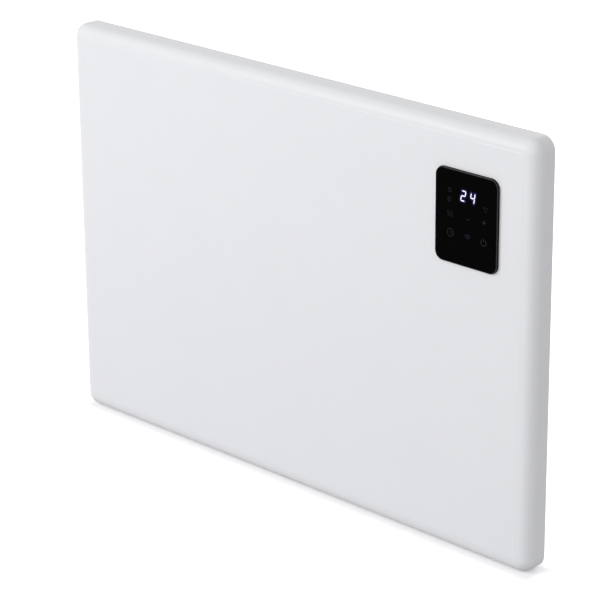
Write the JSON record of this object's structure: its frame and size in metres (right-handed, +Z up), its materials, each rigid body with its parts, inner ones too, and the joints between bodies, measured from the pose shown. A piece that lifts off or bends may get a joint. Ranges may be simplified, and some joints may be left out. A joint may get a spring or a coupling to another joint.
{
  "type": "electric radiator",
  "caption": "Flat electric wall radiator with a rounded pressed front panel, a touch control, a convector box behind it and a wall bracket with hooks and quarter-turn locks.",
  "frame": {"origin": "on the wall plane, behind the middle of the front panel, which is the middle of the four wall screws", "axes": "+Z up, -Y out of the wall into the room, +X to the right seen from the room"},
  "size_m": [0.63, 0.091, 0.43],
  "materials": {
    "bracket_zinc": "hot-dip galvanised, faint spangle",
    "sleeve_plastic": "natural nylon",
    "lock_plastic": "black glass-filled nylon, fine texture",
    "rocker_plastic": "black, moulded marks filled white",
    "panel_paint": "white powder coat, fine orange peel, semi-matt",
    "rib_steel": "galvanised sheet",
    "box_paint": "white powder coat, semi-matt",
    "screw_steel": "bright zinc plate",
    "buffer_rubber": "grey, matt",
    "control_glass": "clear over black print, polished",
    "bezel_plastic": "black, satin",
    "gasket_foam": "closed-cell foam",
    "guide_plastic": "white, dull",
    "display_plastic": "dark grey face",
    "spring_steel": "nickel-plated wire",
    "board_laminate": "green solder mask",
    "chip_plastic": "black moulding compound",
    "radio_can": "tinned shield",
    "switch_plastic": "black, satin",
    "tinned_brass": "tin plate",
    "gland_nylon": "black nylon",
    "duct_steel": "aluminised sheet",
    "grommet_silicone": "red silicone",
    "fin_aluminium": "mill finish",
    "rod_steel": "annealed stainless sheath",
    "bush_ceramic": "unglazed steatite",
    "cutout_case": "brown phenolic",
    "fuse_case": "smooth can",
    "tray_plastic": "white, flame-proof",
    "relay_case": "blue case",
    "transformer_core": "varnished laminations and taped coil",
    "capacitor_case": "yellow case",
    "fuse_glass": "clear tube with tinned caps",
    "header_nylon": "natural nylon",
    "block_nylon": "natural nylon",
    "block_brass": "bright",
    "clip_nylon": "natural nylon",
    "sensor_resin": "black epoxy bead",
    "mains_sleeve": "brown and blue insulation",
    "element_sleeve": "white silicone",
    "sensor_sleeve": "black insulation",
    "control_sleeve": "grey jacket",
    "safety_sleeve": "yellow silicone"
  },
  "bodies": {
    "bracket": {"wall_bracket": "bracket_zinc", "hook_sleeves": "sleeve_plastic"},
    "lock_left": {"lock_left": "lock_plastic"},
    "lock_right": {"lock_right": "lock_plastic"},
    "rocker": {"switch_rocker": "rocker_plastic"},
    "heater": {"front_shell": "panel_paint", "panel_stiffeners": "rib_steel", "rear_cover": "box_paint", "rim_screws": "screw_steel", "box_screws": "screw_steel", "earth_screw": "screw_steel", "earth_nut": "screw_steel", "wall_buffers": "buffer_rubber", "touch_glass": "control_glass", "control_bezel": "bezel_plastic", "control_gasket": "gasket_foam", "light_guide": "guide_plastic", "digit_display": "display_plastic", "touch_springs": "spring_steel", "display_board": "board_laminate", "display_chips": "chip_plastic", "radio_module": "radio_can", "buzzer": "chip_plastic", "control_cap": "bezel_plastic", "control_screws": "screw_steel", "switch_body": "switch_plastic", "switch_terminals": "tinned_brass", "cable_gland": "gland_nylon", "gland_nut": "gland_nylon", "air_duct": "duct_steel", "duct_grommet": "grommet_silicone", "element_fins": "fin_aluminium", "element_rod": "rod_steel", "element_insulators": "bush_ceramic", "element_bracket_left": "duct_steel", "element_bracket_right": "duct_steel", "element_terminals": "tinned_brass", "thermal_cutout": "cutout_case", "thermal_fuse": "fuse_case", "fuse_clip": "duct_steel", "board_tray": "tray_plastic", "power_board": "board_laminate", "board_screws": "screw_steel", "power_relays": "relay_case", "supply_transformer": "transformer_core", "filter_capacitor": "capacitor_case", "board_fuse": "fuse_glass", "board_headers": "header_nylon", "terminal_block": "block_nylon", "terminal_screws": "block_brass", "sensor_clip": "clip_nylon", "room_sensor": "sensor_resin", "mains_leads": "mains_sleeve", "element_leads": "element_sleeve", "sensor_lead": "sensor_sleeve", "control_lead": "control_sleeve", "safety_leads": "safety_sleeve"}
  },
  "joints": [
    {"name": "lift_off", "type": "slide", "parent": "bracket", "child": "heater", "axis": [0, 0, 1], "range_m": [0, 0.01]},
    {"name": "lock_left_turn", "type": "hinge", "parent": "bracket", "child": "lock_left", "pos_m": [-0.15, -0.0113, -0.112], "axis": [0, -1, 0], "range_deg": [0, 90]},
    {"name": "lock_right_turn", "type": "hinge", "parent": "bracket", "child": "lock_right", "pos_m": [0.15, -0.0113, -0.112], "axis": [0, 1, 0], "range_deg": [0, 90]},
    {"name": "mains_switch", "type": "hinge", "parent": "heater", "child": "rocker", "pos_m": [0.2605, -0.039, -0.118], "axis": [0, 1, 0], "range_deg": [0, 24]}
  ]
}
